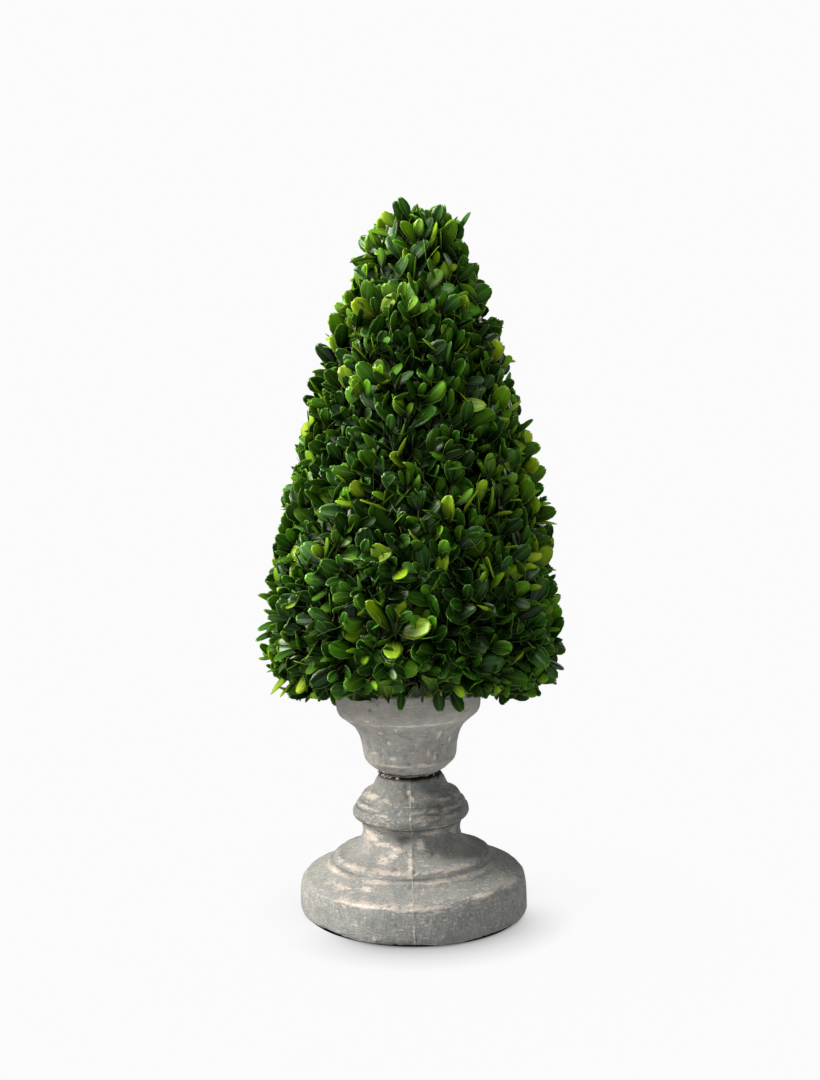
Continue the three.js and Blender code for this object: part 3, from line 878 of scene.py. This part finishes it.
bark = plainMaterial("boxwood bark")
z = np.linspace(stemShape["foot"], stemShape["top"], 120)
flare = np.clip((stemShape["foot"] + stemShape["flareHeight"] - z) / stemShape["flareHeight"], 0, 1)
taper = np.clip((z - stemShape["foot"] - stemShape["flareHeight"]) / 99, 0, 1)
radius = mix(stemShape["radius"], stemShape["topRadius"], taper)
radius += (stemShape["flareRadius"] - stemShape["radius"]) * flare**2.5
grid, crack = barked(stemCentre(z), radius, 96, 71, 0.45)
stem = addClosed("stem_bark", grid, [bark], {"crack": crack})
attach(stem, "root")
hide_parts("stem")

# The leader goes on from the stem's top to the tip, thinning all the way.
z = np.linspace(stemShape["top"] + 0.3, stemShape["leaderTop"], 150)
radius = mix(stemShape["topRadius"], 1.6, (z - z[0]) / (z[-1] - z[0]))
grid, crack = barked(stemCentre(z), radius, 40, 74, 0.3)
leader = addClosed("leader_bark", grid, [bark], {"crack": crack})
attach(leader, "root")
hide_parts("foliage")

# Boughs leave the stem and the leader in a golden-angle spiral and end in the core.
number = np.arange(stemShape["boughs"])
startHeight = mix(215, 520, (number / (stemShape["boughs"] - 1)) ** 0.9)
turn = number * goldenAngle + 0.5
endHeight = startHeight + 10 + 30 * chance(number + 0.2)
endRadius = np.maximum(coreRadius(endHeight) - 8, 4)
start = stemCentre(startHeight)
endX = endRadius * np.cos(turn) + crownAxis(endHeight)
end = np.stack([endX, endRadius * np.sin(turn), endHeight], axis=-1)
share = np.linspace(0, 1, 14)[None, :, None]
boughPaths = mix(start[:, None], end[:, None], share)
boughPaths[..., 2] += 16 * (share[..., 0] ** 2 - share[..., 0])
boughPaths += 2.2 * np.sin(9 * share + number[:, None, None]) * np.sin(math.pi * share)
boughRadii = mix(4.2 - 0.06 * number[:, None], 1.5, share[..., 0])
points, faces = rodMesh(boughPaths, boughRadii, stemShape["boughSides"])
crack = 1 - smooth(0.0, 0.5, np.abs(noise(points * [1, 1, 0.5], 4, 77)))
middle = np.repeat(boughPaths.reshape(-1, 3), stemShape["boughSides"], axis=0)
points += unit(points - middle) * (-0.25 * crack)[:, None]
boughs = addMesh("boughs_bark", points, faces, [bark], values={"crack": crack})
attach(boughs, "root")
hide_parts("foliage")
print("stem and boughs grown")

# Twigs at the same places as the source's, but for the one at its tip, and each is carried back to
# the nearest bough.
twigRule = {"count": 114, "lift": 0.2, "splay": 1.1, "stray": 0.26, "level": 0, "full": 1, "least": 1}
sprigRule = {
    "count": 620,
    "lift": 3.2,
    "splay": 1.5,
    "stray": 1.3,
    "level": 218,  # up to this height a sprig points straight out of the skin
    "full": 330,  # from this height on it turns up by the whole lift
    "least": 0.5,
    "tipDepth": 11,  # how far under the clipped outline a sprig ends
    "uneven": 9,
    "clump": 55,  # sprigs stand further out and are fresher in clumps of about this size
    "tuft": 12,
    "length": 40,
}


# Directions of twigs: the skin's own outward direction + lift times up on the cone, or + splay
# times the level direction away from the axis under the skirt, and then + a stray that hangs on
# chance.
def headings(rule, index, place, around, outwards):
    below = place[:, 2:] <= core["bottom"] + 0.01
    rise = np.clip((place[:, 2:] - rule["level"]) / (rule["full"] - rule["level"]), 0.04, 1)
    rise = rise * mix(rule["least"], 1.0, chance(index + 0.44))[:, None]
    heading = outwards + np.where(below, around * rule["splay"], up * rule["lift"] * rise)
    return unit(unit(heading) + strayed(index, rule["stray"]))


# The nearest of many points to each place: the one at the least distance.
def nearest(places, among):
    best = np.empty((len(places), 3))
    for first in range(0, len(places), 64):
        part = places[first : first + 64]
        distance = np.linalg.norm(part[:, None] - among[None], axis=-1)
        best[first : first + 64] = among[distance.argmin(axis=1)]
    return best


twigSkin = skinPlaces(twigRule["count"])
twigHeading = headings(twigRule, *twigSkin)
twigEnd = twigSkin[1] + 6 * twigHeading
boughPoints = np.concatenate([boughPaths[:, 5:].reshape(-1, 3), stemCentre(np.linspace(430, 576, 40))])
twigStart = nearest(twigSkin[1], boughPoints)
share = np.linspace(0, 1, 7)[None, :, None]
twigPaths = mix(twigStart[:, None], twigEnd[:, None], share)
twigPaths += (twigHeading * np.linalg.norm(twigEnd - twigStart, axis=-1)[:, None] * 0.3)[:, None] * (
    share**2 - share
)
twigRadii = np.broadcast_to(mix(1.6, 1.1, share[..., 0]), twigPaths.shape[:2])

sprigSkin = skinPlaces(sprigRule["count"])
sprigIndex, sprigPlace, _, sprigOut = sprigSkin
sprigHeading = headings(sprigRule, *sprigSkin)
clump = np.clip(noise(sprigPlace, sprigRule["clump"], 83), -1.5, 1.5)
depth = sprigRule["tipDepth"] + sprigRule["uneven"] * (chance(sprigIndex + 0.6) - 0.5) - 3 * clump
sprigTip = sprigPlace + sprigOut * (core["depth"] - depth)[:, None] + 4 * (sprigHeading - sprigOut)
under = sprigPlace[:, 2] <= core["bottom"] + 0.01
sprigTip[under, 2] = np.maximum(sprigTip[under, 2], crown["underside"] + 6)

# The tip is a tuft of upright sprigs.
number = np.arange(sprigRule["tuft"])
turn = number * goldenAngle
ring = 26 * np.sqrt((number + 0.5) / sprigRule["tuft"])
tuftTip = np.stack([ring * np.cos(turn) + 5, ring * np.sin(turn), 585 - 0.42 * ring], axis=-1)
tuftTip[:, 2] -= 0.1 * tuftTip[:, 0] + 3 * chance(number + 0.8)
tuftHeading = np.stack([0.35 * np.cos(turn), 0.35 * np.sin(turn), 1 + 0 * turn], axis=-1)
tuftHeading = unit(tuftHeading + strayed(number, 0.3))
sprigTip = np.concatenate([sprigTip, tuftTip])
sprigHeading = np.concatenate([sprigHeading, tuftHeading])
sprigIndex = np.arange(len(sprigTip))
clump = np.concatenate([clump, 0 * number])
sprigBase = sprigTip - sprigHeading * sprigRule["length"] * 0.75
sprigStart = nearest(sprigBase, twigPaths[:, 2:].reshape(-1, 3))
reach = np.linalg.norm(sprigTip - sprigStart, axis=-1)[:, None]
share = np.linspace(0, 1, 6)[None, :, None]
elbow = sprigTip - sprigHeading * reach * 0.5
sprigPaths = curve(sprigStart[:, None], elbow[:, None], sprigTip[:, None], share)
sprigRadii = np.broadcast_to(mix(1.1, 0.55, share[..., 0]), sprigPaths.shape[:2])


leafShape = {
    "length": 24,
    "width": 12.8,
    "thickness": 0.35,
    "rows": [0, 0.13, 0.34, 0.58, 0.79, 0.93, 1.0],
    "halfWidths": [0.07, 0.26, 0.72, 1.0, 0.88, 0.55, 0.13],
    "columns": [-1, -0.55, -0.1, 0.1, 0.55, 1],
    "notch": 0.02,
}

pairRule = {
    "back": [22, 16.5, 11, 6, 1.5],  # mm from the sprig's tip
    "spread": [1.1, 1.06, 0.96, 0.8, 0.5],
    "size": [0.88, 1.06, 1.12, 0.98, 0.7],
}


# Leaves as closed shells. The upper side is a grid: x runs to the tip, y across, and
# z = cup (0.4 y^2 + 0.6 |y|) - curl x^2, which folds it along the midrib. The lower side lies a
# thickness below it and shares its edge.
def leafMesh(place, along, above, size, wide, curl, cup):
    u = np.array(leafShape["rows"])[None, :, None]
    v = np.array(leafShape["columns"])[None, None, :]
    half = np.array(leafShape["halfWidths"])[None, :, None] * leafShape["width"] / 2
    long = leafShape["length"]
    scale = size[:, None, None]
    tip = smooth(0.9, 1.0, u) * leafShape["notch"]
    x = long * (u - tip * (1 - np.abs(v)) + 0.02 * np.abs(v) * (u > 0.9)) * scale
    y = half * v * scale * wide[:, None, None]
    wing = np.abs(2 * v * half / leafShape["width"])
    z = (cup[:, None, None] * (0.4 * wing**2 + 0.6 * wing) - curl[:, None, None] * u**2) * scale
    side = np.cross(above, along)
    top = place[:, None, None] + (
        along[:, None, None] * x[..., None]
        + side[:, None, None] * y[..., None]
        + above[:, None, None] * z[..., None]
    )
    below = top[:, 1:-1, 1:-1] - above[:, None, None] * (leafShape["thickness"] * scale)[..., None]
    many, rows, columns = top.shape[:3]
    upper = np.arange(rows * columns).reshape(rows, columns)
    lower = upper.copy()
    lower[1:-1, 1:-1] = rows * columns + np.arange((rows - 2) * (columns - 2)).reshape(rows - 2, -1)
    quads = []
    for index, order in ((upper, 1), (lower, -1)):
        corners = [index[:-1, :-1], index[1:, :-1], index[1:, 1:], index[:-1, 1:]][::order]
        quads.append(np.stack(corners, axis=-1).reshape(-1, 4))
    kinds = np.repeat([0, 1], (rows - 1) * (columns - 1))
    points = np.concatenate([top.reshape(many, -1, 3), below.reshape(many, -1, 3)], axis=1)
    shift = (np.arange(many) * points.shape[1])[:, None, None]
    faces = np.concatenate(quads)[None] + shift
    values = {}
    for title, numbers in (("length", u), ("across", np.abs(v))):
        plain = np.broadcast_to(numbers, (1, rows, columns))[0]
        values[title] = np.tile(np.concatenate([plain.ravel(), plain[1:-1, 1:-1].ravel()]), many)
    return points.reshape(-1, 3), [faces.reshape(-1, 4)], np.tile(kinds, many), values


# Whether points lie inside the clipped outline, give or take some mm, outside the bowl, and not
# lower than the skirt hangs, give or take some more.
def fits(points, slack, droop):
    radius = np.hypot(points[..., 0] - crownAxis(points[..., 2]), points[..., 1])
    z = points[..., 2]
    inside = radius < crownRadius(np.clip(z, crown["underside"], crown["top"])) + slack
    inside &= z < crown["top"] - 12
    lean = points[..., 0] + urn["lean"] * z
    top = bowlSpace["height"] + urn["lean"] * points[..., 0]
    clear = (np.hypot(lean, points[..., 1]) > bowlSpace["radius"]) | (z > top)
    front = np.clip(-points[..., 1] / 100, 0, 1)
    lowest = crown["underside"] - 2 + crown["frontLift"] * front
    return inside & clear & (z > lowest - droop)


# Every sprig carries pairs of leaves set crosswise, each turned a quarter from the pair below.
back = np.array(pairRule["back"])
spread = np.array(pairRule["spread"])
sizes = np.array(pairRule["size"])
pairs = len(back)
sprig, pair, half = np.meshgrid(sprigIndex, np.arange(pairs), [0, 1], indexing="ij")
sprig, pair, half = sprig.ravel(), pair.ravel(), half.ravel()
seed = sprig * 12.7 + pair * 2.31 + half * 0.77
heading = sprigHeading[sprig]
level = unit(np.cross(sprigHeading, up + 0.01))[sprig]
steep = np.cross(heading, level)
turn = chance(sprig + 0.9) * math.pi + pair * math.pi / 2 + half * math.pi + 0.5 * (chance(seed) - 0.5)
opening = spread[pair] + 0.35 * (chance(seed + 0.21) - 0.5)
sideways = level * np.cos(turn)[:, None] + steep * np.sin(turn)[:, None]
along = heading * np.cos(opening)[:, None] + sideways * np.sin(opening)[:, None]
lift = mix(-0.08, 0.2, smooth(200, 330, sprigTip[sprig, 2:]))
along = unit(along + up * lift + 0.25 * strayed(seed, 1))
face = heading + unit(sprigTip[sprig] * [1, 1, 0]) * mix(0.1, 1.0, chance(seed + 0.27))[:, None]
above = squareTo(along, face)
roll = 0.7 * (chance(seed + 0.43) - 0.5) + math.pi * (chance(seed + 0.37) > 0.78)
side = np.cross(above, along)
above = above * np.cos(roll)[:, None] + side * np.sin(roll)[:, None]
place = sprigTip[sprig] - heading * back[pair][:, None] + along * 0.3
size = sizes[pair] * (0.8 + 0.36 * chance(seed + 0.55)) * (1 + 0.22 * smooth(470, 560, sprigTip[sprig, 2]))
size = np.minimum(size, 1.32)
curl = 5 * chance(seed + 0.63) - 1.4
cup = 0.2 + 2.4 * chance(seed + 0.71)
wide = 0.85 + 0.35 * chance(seed + 0.49)

reachPoint = place + along * (leafShape["length"] * size)[:, None]
middle = place + along * (leafShape["length"] * size * 0.6)[:, None]
slack = np.where(sprig < sprigRule["count"], 1 + 10 * chance(sprig + 0.15) ** 1.5, 16)
droop = 10 * chance(sprig * 3.1 + 0.2) ** 2
keep = fits(reachPoint, slack, droop) & fits(middle, slack, 0) & (chance(seed + 0.87) > 0.04)
keep &= (sprig < sprigRule["count"]) | (pair > 1)

# A sprig shows only where at least four of its leaves are kept and its tip fits.
leafy = (np.bincount(sprig[keep], minlength=len(sprigIndex)) > 3) & fits(sprigTip, 12, 0)
green = plainMaterial("green boxwood twig")
for name, paths, radii in (("twigs", twigPaths, twigRadii), ("sprigs", sprigPaths[leafy], sprigRadii[leafy])):
    points, faces = rodMesh(paths, radii, 6)
    twigs = addMesh(name, points, faces, [green])
    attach(twigs, "root")
    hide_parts("foliage")
print("twigs grown")

# Old leaves, coloured near black as painted shade, fill the shade between the sprigs: they lie deeper and flat to
# the crown, and the innermost ones are so large that no light comes through from behind.
inner = [
    {"count": 1500, "depth": (8, 20), "size": 1.1},
    {"count": 1100, "depth": (26, 40), "size": 2.0},
]
for layer in inner:
    number, skin, _, out = skinPlaces(layer["count"])
    deep = mix(*layer["depth"], chance(number + 0.35))
    flat = unit(np.cross(out, up + 0.02) * (chance(number + 0.52)[:, None] - 0.5) + up * 0.6 + 0.3 * out)
    start = skin - out * deep[:, None] - flat * 10 * layer["size"]
    face = unit(out - flat * (out * flat).sum(axis=-1, keepdims=True) + strayed(number, 0.8))
    place = np.concatenate([place, start])
    along = np.concatenate([along, flat])
    above = np.concatenate([above, squareTo(flat, face)])
    size = np.concatenate([size, np.full(len(number), layer["size"])])
    curl = np.concatenate([curl, 0 * deep])
    cup = np.concatenate([cup, 0 * deep + 0.8])
    wide = np.concatenate([wide, 0 * deep + 0.92])
    end = start + leafShape["length"] * layer["size"] * flat
    keep = np.concatenate([keep, fits(start, 0, 0) & fits(end, 0, 0)])
shadeLeafCount = sum(layer["count"] for layer in inner)

# Single leaves: some hang over the rim at the front, some stand out at the tip and the sides, and
# a few small dried ones are caught near the tip. Each has its stalk, its tip, the way its upper
# side faces and its tone.
loose = [
    ((18, -62.5, 198), (20.5, -66, 176), (0.1, -1, 0), 2),
    ((28, -58, 195), (38.5, -56, 174.5), (0.3, -1, 0.1), 2),
    ((-10, -65, 196), (-11, -67, 177), (0.6, -0.8, 0), 3),
    ((-2.5, -31, 575), (-11.7, -30, 595.6), (0.5, -1, 0.1), 3),
    ((24, -24, 552), (33, -29, 577), (-0.2, 1, -0.1), 4),
    ((34, -8, 567), (47, -9, 590), (-0.8, -0.5, 0.4), 3),
    ((82, -26, 398), (98, -30, 412), (-0.2, -0.6, 1), 3),
    ((-110, -25, 238), (-131, -30, 229), (-0.2, -0.5, 1), 2),
    ((-107, -40, 247), (-127, -46, 239), (-0.2, -0.6, 1), 3),
    ((103, -30, 214), (123, -36, 206), (0.3, -0.6, 1), 2),
    ((-9, -31, 565), (-6, -35, 574), (0, -1, 0), 7),
    ((-12, -31, 568), (-12, -36, 575), (0.5, -1, 0), 7),
    ((-6, -32, 562), (-9, -35, 569), (-0.5, -1, 0), 7),
    ((14, -18, 582), (15, -21, 588), (0, -1, 0), 7),
]
stalks, tips, front = [np.array([leaf[item] for leaf in loose], dtype=float) for item in range(3)]
way = unit(tips - stalks)
place = np.concatenate([place, stalks])
along = np.concatenate([along, way])
above = np.concatenate([above, squareTo(way, front)])
size = np.concatenate([size, np.linalg.norm(tips - stalks, axis=-1) / leafShape["length"]])
curl = np.concatenate([curl, np.full(len(loose), 0.6)])
cup = np.concatenate([cup, np.full(len(loose), 0.6)])
wide = np.concatenate([wide, np.full(len(loose), 0.85)])
keep = np.concatenate([keep, np.ones(len(loose), dtype=bool)])

# Tones are dealt out by sprig: its end leaves are of the next fresher tone, and here and there a
# pair has stayed yellow-green. Each tone has its upper side, its thin edge and its underside.
tones = {
    # The shaded tone is painted shade: near-black leaves for the dark inside of the crown.
    "shaded": ("#0a1804", "#122408", "#0d1b04"),
    "deep": ("#153306", "#67913a", "#2b4d08"),
    "dark": ("#1d4406", "#76a344", "#395f09"),
    "mid": ("#295a06", "#84b349", "#47740c"),
    "fresh": ("#447d06", "#94c24c", "#628d0e"),
    "bright": ("#5b8b08", "#a2c257", "#7c9f13"),
    "young": ("#7a9d0c", "#b2cb58", "#8ba71a"),
    "dry": ("#4a3418", "#8a6a40", "#5d4524"),
}
# Painted light and shade by height: tones grow fresher towards the top, partly as young growth and partly as
# painted light from above, and darker under the skirt, as painted shade.
high = smooth(430, 570, place[: len(sprig), 2])
low = 1 - smooth(200, 330, place[: len(sprig), 2])
draw = chance(sprig * 1.7 + 0.33) + 0.1 * clump[sprig] - 0.13 * low
draw += high * (0.9 * chance(seed + 0.31) - 0.14)
tone = 1 + np.digitize(draw + 0.3 * (chance(seed + 0.95) - 0.5), [0.37, 0.66, 0.84, 0.95])
tone = np.minimum(tone + (pair == pairs - 1), 5)
young = chance(sprig * 5.3 + pair * 1.9 + 0.5) > 0.92 + 0.02 * high + 0.02 * low
young &= (pair < pairs - 1) & (place[: len(sprig), 2] < 560)
tone[young] = 6
tone = np.where(sprig < sprigRule["count"], tone, np.minimum(tone, 3))
size[: len(sprig)] *= np.where(young, 1.12, 1.0)
tone = np.concatenate([tone, np.zeros(shadeLeafCount, dtype=int), [leaf[3] for leaf in loose]])
count = 0
for order, (title, (upper, edge, under)) in enumerate(tones.items()):
    wax, shine = (0.0, 0.03) if title in ("shaded", "dry") else (0.42, 0.15)
    materials = [
        leafMaterial(f"boxwood leaf {title} top", upper, edge, wax, shine),
        leafMaterial(f"boxwood leaf {title} under", under, edge, 0.0, 0.1),
    ]
    mine = np.flatnonzero(keep & (tone == order))
    for part, chosen in enumerate(np.array_split(mine, max(math.ceil(len(mine) / 2000), 1))):
        points, faces, kinds, values = leafMesh(
            *(numbers[chosen] for numbers in (place, along, above, size, wide, curl, cup))
        )
        leaves = addMesh(f"leaves_{title}_{part + 1}", points, faces, materials, kinds, values)
        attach(leaves, "root")
        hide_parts("foliage")
        count += len(chosen)
print("leaves grown:", count)


studio = {
    "floorRadius": 3.0,
    "floorColumns": 96,
    "floor": "#fbfbfb",
    "lens": 34.67,
    "eye": (-0.0034, -0.890, 0.312),
}

# White paper that glows evenly, so that no horizon shows. A painted shadow darkens it close to what stands on it,
# mostly at the front, and near the plant it takes a little of the plant's own cast shadow.
paper, tree, shader = newMaterial("white studio paper")
shader.inputs["Roughness"].default_value = 1.0
shader.inputs["Specular IOR Level"].default_value = 0.0
shader.inputs["Base Color"].default_value = linear("#c8c8c8")
# painted shadow: ambient occlusion darkens the glow near what stands on it, most towards the front right
near = addNode(tree, "ShaderNodeAmbientOcclusion", {"samples": 8}, {"Distance": 0.045}).outputs["AO"]
near = addMath(tree, "SUBTRACT", 1.0, addMath(tree, "POWER", near, 1.5))
place = addNode(tree, "ShaderNodeTexCoord").outputs["Object"]
side = addNode(tree, "ShaderNodeVectorMath", {"operation": "NORMALIZE"}, {0: place}).outputs[0]
side = addNode(tree, "ShaderNodeVectorMath", {"operation": "DOT_PRODUCT"}, {0: side, 1: (0.35, -0.94, 0.0)})
side = addNode(tree, "ShaderNodeMapRange", steps, {0: side.outputs["Value"], 1: 0.2, 2: 0.9, 3: 0.12, 4: 1.0})
near = addMath(tree, "MULTIPLY", near, side.outputs[0])
shade = addColour(tree, linear(studio["floor"]), near, "#787878")
far = addNode(tree, "ShaderNodeVectorMath", {"operation": "LENGTH"}, {0: place}).outputs["Value"]
share = addNode(tree, "ShaderNodeMapRange", steps, {0: far, 1: 0.1, 2: 0.3, 3: 0.98, 4: 1.0}).outputs[0]
glow = addNode(tree, "ShaderNodeEmission", {}, {"Color": shade, "Strength": 1.0})
blend = addNode(
    tree, "ShaderNodeMixShader", {}, {0: share, 1: shader.outputs[0], 2: glow.outputs[0]}
)
tree.links.new(blend.outputs[0], tree.nodes["Material Output"].inputs["Surface"])
columns = studio["floorColumns"]
reach = np.array([0.01, 0.2, 0.6, studio["floorRadius"]]) * 1000
rings = reach[:, None, None] * compass(evenly(columns))
index = np.arange(len(reach) * columns).reshape(-1, columns)
after = np.roll(index, -1, axis=1)
quads = np.stack([index[:-1], index[1:], after[1:], after[:-1]], axis=-1).reshape(-1, 4)
floor = addMesh("floor", rings.reshape(-1, 3) - [0, 0, 0.4], [quads, index[:1]], [paper])
floor.visible_glossy = False
floor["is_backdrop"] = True

# The background is white to the camera and lights nothing. It goes into the scene first, because
# a change to its visibility updates the scene's world.
world = bpy.data.worlds.new("studio")
bpy.context.scene.world = world
world.use_nodes = True
background = world.node_tree.nodes["Background"]
background.inputs["Color"].default_value = linear(studio["floor"])
background.inputs["Strength"].default_value = 1.0
world.cycles_visibility.diffuse = False
world.cycles_visibility.glossy = False


# A round soft light at a place, turned about x and z until it faces its aim.
def addLight(name, place, aim, size, power, colour):
    lamp = bpy.data.lights.new(name, "AREA")
    lamp.shape = "DISK"
    lamp.size = size
    lamp.energy = power
    lamp.color = linear(colour)[:3]
    light = bpy.data.objects.new(name, lamp)
    light.location = place
    way = np.array(aim) - np.array(place)
    light.rotation_euler = (
        math.atan2(math.hypot(way[0], way[1]), -way[2]),
        0,
        math.atan2(-way[0], way[1]),
    )
    light.visible_camera = False
    bpy.context.scene.collection.objects.link(light)


addLight("key", (-2.1, -0.36, 1.6), (0, 0, 0.28), 1.3, 123, "#fffaf2")
addLight("fill", (-0.2, -2.2, 0.6), (0, 0, 0.2), 2.0, 7, "#f6f8ff")
addLight("top", (-0.4, -0.8, 2.2), (0, 0, 0.3), 1.6, 29, "#ffffff")
addLight("back", (1.3, 1.6, 1.0), (0, 0, 0.3), 1.6, 16, "#ffffff")

eye = bpy.data.cameras.new("camera")
eye.sensor_width = 36
eye.lens = studio["lens"]
camera = bpy.data.objects.new("camera", eye)
camera.location = studio["eye"]
camera.rotation_euler = (math.pi / 2, 0, 0)
bpy.context.scene.collection.objects.link(camera)
bpy.context.scene.camera = camera
bpy.context.scene.view_settings.view_transform = "Standard"
print("studio set")

sizes = {"before": [list(corner) for corner in sizeBefore], "after": [list(corner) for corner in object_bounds()]}
